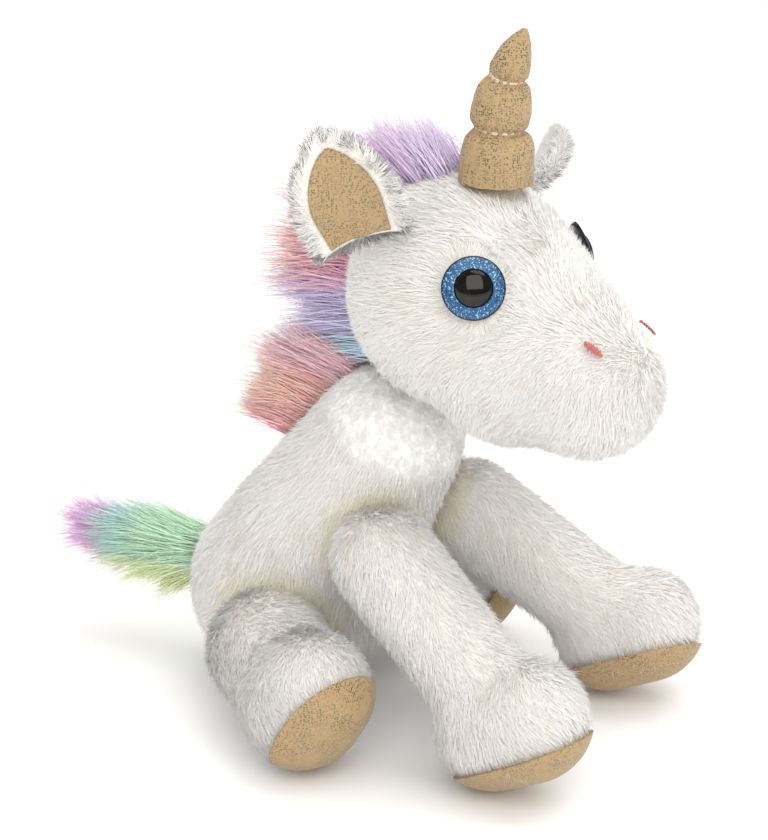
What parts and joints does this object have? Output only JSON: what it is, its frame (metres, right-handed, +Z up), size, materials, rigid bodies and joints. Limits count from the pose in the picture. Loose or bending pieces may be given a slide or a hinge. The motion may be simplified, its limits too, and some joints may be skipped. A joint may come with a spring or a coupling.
{
  "type": "plush unicorn",
  "caption": "Sitting stuffed plush unicorn with white pile body, dotted gold horn, ears and soles, pastel long-pile mane and tail, and glitter eyes; head, ears, legs and tail flex.",
  "frame": {"origin": "middle of the bounding box, on the plane the toy sits on", "axes": "+Z up; -Y the way the toy's body faces; +X towards its left flank"},
  "size_m": [0.196, 0.2982, 0.2845],
  "materials": {
    "white_pile": "short dense plush pile, soft matte with a faint warm shade in the creases",
    "stuffing": "loose white polyester fibre",
    "gold_foil": "knit fabric with a dotted gold foil, soft metallic glints",
    "mane_pile": "long silky pile in pastel pink, coral, lilac and sky blue bands",
    "tail_pile": "long silky pile in pastel mint, aqua, yellow and orchid",
    "nostril_thread": "satin-stitched embroidery thread",
    "tie_thread": "pale waxed sewing thread",
    "glitter": "blue glitter under clear gloss",
    "eye_plastic": "polished black moulded plastic",
    "washer_plastic": "plain natural moulded plastic"
  },
  "bodies": {
    "torso": {"torso_cover": "white_pile", "torso_filling": "stuffing", "mane_neck": "mane_pile"},
    "neck": {"neck_filling": "stuffing"},
    "head": {"head_cover": "white_pile", "head_filling": "stuffing", "mane_head": "mane_pile", "nostril_stitch_right": "nostril_thread", "nostril_stitch_left": "nostril_thread", "eye_right": "eye_plastic", "eye_left": "eye_plastic", "eye_ring_right": "glitter", "eye_ring_left": "glitter", "eye_washer_right": "washer_plastic", "eye_washer_left": "washer_plastic", "horn_cover": "gold_foil", "horn_filling": "stuffing", "horn_tie_lower": "tie_thread", "horn_tie_upper": "tie_thread"},
    "ear_right": {"ear_back_right": "white_pile", "ear_lining_right": "gold_foil"},
    "ear_left": {"ear_back_left": "white_pile", "ear_lining_left": "gold_foil"},
    "front_leg_right": {"front_leg_cover_right": "white_pile", "front_leg_filling_right": "stuffing", "front_sole_right": "gold_foil"},
    "front_leg_left": {"front_leg_cover_left": "white_pile", "front_leg_filling_left": "stuffing", "front_sole_left": "gold_foil"},
    "hind_leg_right": {"hind_leg_cover_right": "white_pile", "hind_leg_filling_right": "stuffing", "hind_sole_right": "gold_foil"},
    "hind_leg_left": {"hind_leg_cover_left": "white_pile", "hind_leg_filling_left": "stuffing", "hind_sole_left": "gold_foil"},
    "tail": {"tail_core": "tail_pile", "tail_plume": "tail_pile"}
  },
  "joints": [
    {"name": "head_turn", "type": "hinge", "parent": "torso", "child": "neck", "pos_m": [0, -0.02485, 0.117], "axis": [0, 0, 1], "range_deg": [-30, 30], "stiffness_Nm_per_rad": 1.2},
    {"name": "head_nod", "type": "hinge", "parent": "neck", "child": "head", "pos_m": [0, -0.02485, 0.117], "axis": [0.9925, -0.1219, 0], "range_deg": [-12, 10], "stiffness_Nm_per_rad": 2.5},
    {"name": "ear_flop_right", "type": "hinge", "parent": "head", "child": "ear_right", "pos_m": [-0.05125, -0.04344, 0.2058], "axis": [0.4644, -0.8141, 0.3487], "range_deg": [-5, 35], "stiffness_Nm_per_rad": 0.05},
    {"name": "ear_flop_left", "type": "hinge", "parent": "head", "child": "ear_left", "pos_m": [0.04257, -0.05557, 0.2046], "axis": [0.3985, 0.5941, -0.6988], "range_deg": [-25, 15], "stiffness_Nm_per_rad": 0.05},
    {"name": "front_leg_lift_right", "type": "hinge", "parent": "torso", "child": "front_leg_right", "pos_m": [-0.034, -0.04185, 0.078], "axis": [-1, 0, 0], "range_deg": [0, 25], "stiffness_Nm_per_rad": 0.8},
    {"name": "front_leg_lift_left", "type": "hinge", "parent": "torso", "child": "front_leg_left", "pos_m": [0.034, -0.04185, 0.078], "axis": [-1, 0, 0], "range_deg": [0, 25], "stiffness_Nm_per_rad": 0.8},
    {"name": "hind_leg_spread_right", "type": "hinge", "parent": "torso", "child": "hind_leg_right", "pos_m": [-0.047, 0.00415, 0.034], "axis": [0, 0, -1], "range_deg": [0, 25], "stiffness_Nm_per_rad": 0.8},
    {"name": "hind_leg_spread_left", "type": "hinge", "parent": "torso", "child": "hind_leg_left", "pos_m": [0.047, 0.00415, 0.034], "axis": [0, 0, 1], "range_deg": [0, 25], "stiffness_Nm_per_rad": 0.8},
    {"name": "tail_wag", "type": "hinge", "parent": "torso", "child": "tail", "pos_m": [0, 0.07115, 0.047], "axis": [0, 0, 1], "range_deg": [-35, 35], "stiffness_Nm_per_rad": 0.03}
  ]
}
